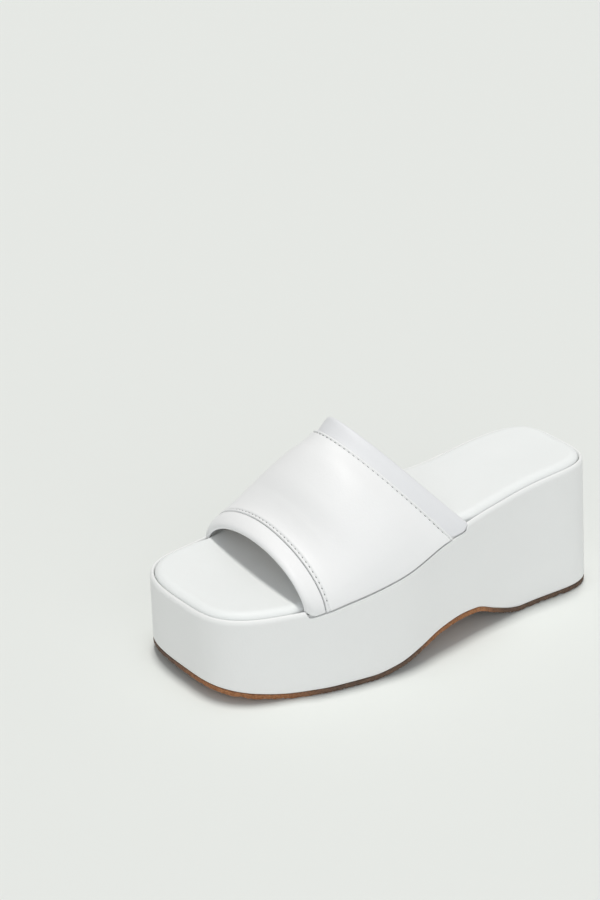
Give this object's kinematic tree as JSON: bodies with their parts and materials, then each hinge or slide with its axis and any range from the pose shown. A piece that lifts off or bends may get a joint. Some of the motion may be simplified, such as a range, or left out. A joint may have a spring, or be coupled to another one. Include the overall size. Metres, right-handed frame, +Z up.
{
  "type": "platform mule",
  "caption": "Backless slip-on mule for the left foot: wide leather vamp with padded rolled edges over a tall wrapped wedge platform with a thin flat outsole.",
  "frame": {"origin": "on the floor, under the middle of the platform's bounding box", "axes": "+Y towards the heel, so the toe points along -Y; +X towards the outer side of the left foot; +Z up"},
  "size_m": [0.1122, 0.2602, 0.1187],
  "materials": {
    "white_leather": "smooth soft leather, faint sheen",
    "insole_leather": "smooth matt lining leather",
    "outsole_rubber": "matt tan rubber with a trimmed edge"
  },
  "bodies": {
    "root": {"outsole": "outsole_rubber", "platform": "white_leather", "insole": "insole_leather", "upper": "white_leather", "front_band": "white_leather", "rear_band": "white_leather"}
  },
  "joints": []
}
